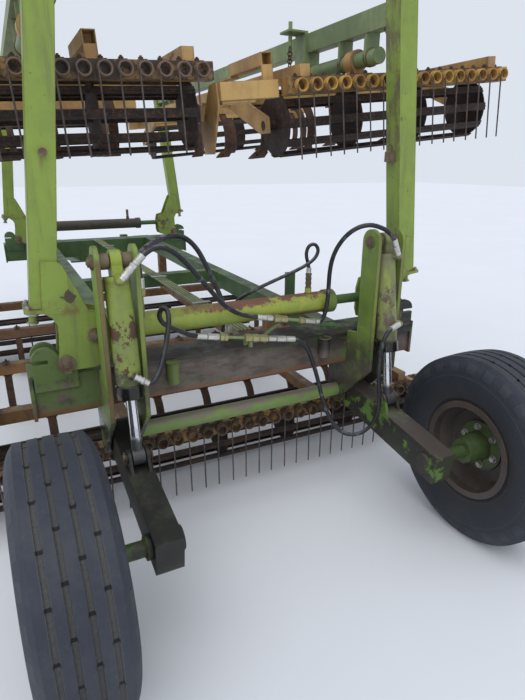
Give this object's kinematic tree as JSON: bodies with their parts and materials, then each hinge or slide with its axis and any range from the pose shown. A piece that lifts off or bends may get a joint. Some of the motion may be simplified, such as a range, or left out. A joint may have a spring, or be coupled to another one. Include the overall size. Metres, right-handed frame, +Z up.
{
  "type": "folded combination cultivator",
  "caption": "Trailed soil cultivator on a two-wheel swing axle, its spring-tined wing sections with coil-tine harrows and cage rollers folded up over the frame.",
  "frame": {"origin": "centre of the hitch eye's bore; the ground lies 480 mm below it", "axes": "+Y forwards along the travel, +X to the machine's right, +Z up"},
  "size_m": [3.4445, 7.4474, 2.7071],
  "materials": {
    "green_paint": "weathered semi-gloss",
    "dark_paint": "oily weathered",
    "ochre_paint": "weathered matte",
    "rim_paint": "dirty matte",
    "tine_steel": "rusty",
    "roller_steel": "rusty",
    "steel": "worn",
    "chrome": "polished",
    "tyre": "matte",
    "rubber": "matte"
  },
  "bodies": {
    "frame": {"drawbar_legs": "green_paint", "drawbar_plates": "green_paint", "frame_pins": "steel", "frame_rails": "green_paint", "front_beam": "green_paint", "harrow_centre": "ochre_paint", "hitch_eye": "steel", "hose_fold": "rubber", "hose_left_gland": "rubber", "hose_left_head": "rubber", "hose_right_gland": "rubber", "hose_right_head": "rubber", "hose_supply": "rubber", "hydraulic_lines": "steel", "jack_tube": "green_paint", "lift_towers": "green_paint", "rear_beam": "green_paint", "section_frame_centre": "ochre_paint", "tines_centre": "tine_steel"},
    "wheel_left": {"tyre_left": "tyre", "rim_left": "rim_paint"},
    "lift_barrel_left": {"lift_barrel_left": "green_paint"},
    "lift_rod_left": {"lift_rod_left": "chrome"},
    "wing_left": {"wing_posts_left": "green_paint", "wing_beam_left": "green_paint"},
    "section_left": {"section_frame_left": "ochre_paint", "harrow_left": "ochre_paint", "tines_left": "tine_steel"},
    "wheel_right": {"tyre_right": "tyre", "rim_right": "rim_paint"},
    "lift_barrel_right": {"lift_barrel_right": "green_paint"},
    "lift_rod_right": {"lift_rod_right": "chrome"},
    "wing_right": {"wing_posts_right": "green_paint", "wing_beam_right": "green_paint", "bracket_chain": "tine_steel"},
    "section_right": {"section_frame_right": "ochre_paint", "harrow_right": "ochre_paint", "tines_right": "tine_steel"},
    "roller_rear_left": {"roller_rear_left": "roller_steel"},
    "roller_front_left": {"roller_front_left": "roller_steel"},
    "roller_rear_centre": {"roller_rear_centre": "roller_steel"},
    "roller_front_centre": {"roller_front_centre": "roller_steel"},
    "roller_rear_right": {"roller_rear_right": "roller_steel"},
    "roller_front_right": {"roller_front_right": "roller_steel"},
    "fold_barrel_rear": {"fold_barrel_rear": "green_paint"},
    "fold_rod_rear": {"fold_rod_rear": "green_paint"},
    "fold_barrel_front": {"fold_barrel_front": "green_paint"},
    "fold_rod_front": {"fold_rod_front": "green_paint"},
    "jack_leg": {"jack_leg": "steel"},
    "swing_axle": {"swing_axle": "dark_paint"}
  },
  "joints": [
    {"name": "jack_slide", "type": "slide", "parent": "frame", "child": "jack_leg", "axis": [0, 0, 1], "range_m": [0, 0.3]},
    {"name": "axle_swing", "type": "hinge", "parent": "frame", "child": "swing_axle", "pos_m": [0, -6.18, 0.11], "axis": [-1, 0, 0], "range_deg": [0, 34]},
    {"name": "wheel_left_spin", "type": "hinge", "parent": "swing_axle", "child": "wheel_left", "pos_m": [-1.01, -6.9, 0.0025], "axis": [1, 0, 0], "continuous": true},
    {"name": "lift_barrel_left_tilt", "type": "hinge", "parent": "frame", "child": "lift_barrel_left", "pos_m": [-0.668, -6.407, 0.99], "axis": [1, 0, 0], "range_deg": [-0.2, 6.54], "deforming": ["hose_left_head", "hose_left_gland"]},
    {"name": "lift_rod_left_slide", "type": "slide", "parent": "lift_barrel_left", "child": "lift_rod_left", "axis": [0, 0.162, 0.9868], "range_m": [-0.001, 0.2004]},
    {"name": "wheel_right_spin", "type": "hinge", "parent": "swing_axle", "child": "wheel_right", "pos_m": [1.01, -6.9, 0.0025], "axis": [1, 0, 0], "continuous": true},
    {"name": "lift_barrel_right_tilt", "type": "hinge", "parent": "frame", "child": "lift_barrel_right", "pos_m": [0.668, -6.407, 0.99], "axis": [1, 0, 0], "range_deg": [-0.2, 6.54], "deforming": ["hose_right_head", "hose_right_gland"]},
    {"name": "lift_rod_right_slide", "type": "slide", "parent": "lift_barrel_right", "child": "lift_rod_right", "axis": [0, 0.162, 0.9868], "range_m": [-0.001, 0.2004]},
    {"name": "wing_left_fold", "type": "hinge", "parent": "frame", "child": "wing_left", "pos_m": [-0.884, -6.2275, 0.55], "axis": [0, -1, 0], "range_deg": [0, 96.3]},
    {"name": "wing_right_fold", "type": "hinge", "parent": "frame", "child": "wing_right", "pos_m": [0.884, -6.2275, 0.55], "axis": [0, 1, 0], "range_deg": [-0.5, 96.8]},
    {"name": "fold_barrel_rear_tilt", "type": "hinge", "parent": "wing_left", "child": "fold_barrel_rear", "pos_m": [-0.755, -6.2275, 0.665], "axis": [0, 1, 0], "range_deg": [-0.5, 96.8], "deforming": ["hose_fold"]},
    {"name": "fold_rod_rear_slide", "type": "slide", "parent": "fold_barrel_rear", "child": "fold_rod_rear", "axis": [1, 0, 0], "range_m": [-0.003, 0.5179]},
    {"name": "fold_barrel_front_tilt", "type": "hinge", "parent": "wing_left", "child": "fold_barrel_front", "pos_m": [-0.755, -2.0475, 0.665], "axis": [0, 1, 0], "range_deg": [-0.5, 96.8]},
    {"name": "fold_rod_front_slide", "type": "slide", "parent": "fold_barrel_front", "child": "fold_rod_front", "axis": [1, 0, 0], "range_m": [-0.003, 0.5179]},
    {"name": "section_left_level", "type": "hinge", "parent": "wing_left", "child": "section_left", "pos_m": [-0.82, -6.2275, 1.88], "axis": [0, 1, 0], "range_deg": [-0.5, 100.1]},
    {"name": "section_right_level", "type": "hinge", "parent": "wing_right", "child": "section_right", "pos_m": [0.82, -6.2275, 1.88], "axis": [0, -1, 0], "range_deg": [-0.5, 90.8]},
    {"name": "roller_rear_left_spin", "type": "hinge", "parent": "section_left", "child": "roller_rear_left", "pos_m": [-0.81563, -5.7475, 1.54369], "axis": [0.9983, 0, 0.0576], "continuous": true},
    {"name": "roller_front_left_spin", "type": "hinge", "parent": "section_left", "child": "roller_front_left", "pos_m": [-0.81563, -3.1575, 1.54369], "axis": [0.9983, 0, 0.0576], "continuous": true},
    {"name": "roller_rear_centre_spin", "type": "hinge", "parent": "frame", "child": "roller_rear_centre", "pos_m": [0, -5.7475, -0.24], "axis": [1, 0, 0], "continuous": true},
    {"name": "roller_front_centre_spin", "type": "hinge", "parent": "frame", "child": "roller_front_centre", "pos_m": [0, -3.1575, -0.24], "axis": [1, 0, 0], "continuous": true},
    {"name": "roller_rear_right_spin", "type": "hinge", "parent": "section_right", "child": "roller_rear_right", "pos_m": [1.0779, -5.7475, 1.62657], "axis": [0.9945, 0, 0.1045], "continuous": true},
    {"name": "roller_front_right_spin", "type": "hinge", "parent": "section_right", "child": "roller_front_right", "pos_m": [1.0779, -3.1575, 1.62657], "axis": [0.9945, 0, 0.1045], "continuous": true}
  ],
  "couplings": [
    {"joint": "lift_barrel_left_tilt", "follows": "axle_swing", "ratio": 0.18661},
    {"joint": "lift_rod_left_slide", "follows": "axle_swing", "m_per_rad": 0.33594},
    {"joint": "lift_barrel_right_tilt", "follows": "axle_swing", "ratio": 0.18661},
    {"joint": "lift_rod_right_slide", "follows": "axle_swing", "m_per_rad": 0.33594},
    {"joint": "wing_right_fold", "follows": "wing_left_fold", "ratio": 1},
    {"joint": "fold_barrel_rear_tilt", "follows": "wing_left_fold", "ratio": 1},
    {"joint": "fold_rod_rear_slide", "follows": "wing_left_fold", "m_per_rad": 0.30636},
    {"joint": "fold_barrel_front_tilt", "follows": "wing_left_fold", "ratio": 1},
    {"joint": "fold_rod_front_slide", "follows": "wing_left_fold", "m_per_rad": 0.30636},
    {"joint": "section_left_level", "follows": "wing_left_fold", "ratio": 1.0343},
    {"joint": "section_right_level", "follows": "wing_left_fold", "ratio": 0.93769}
  ]
}
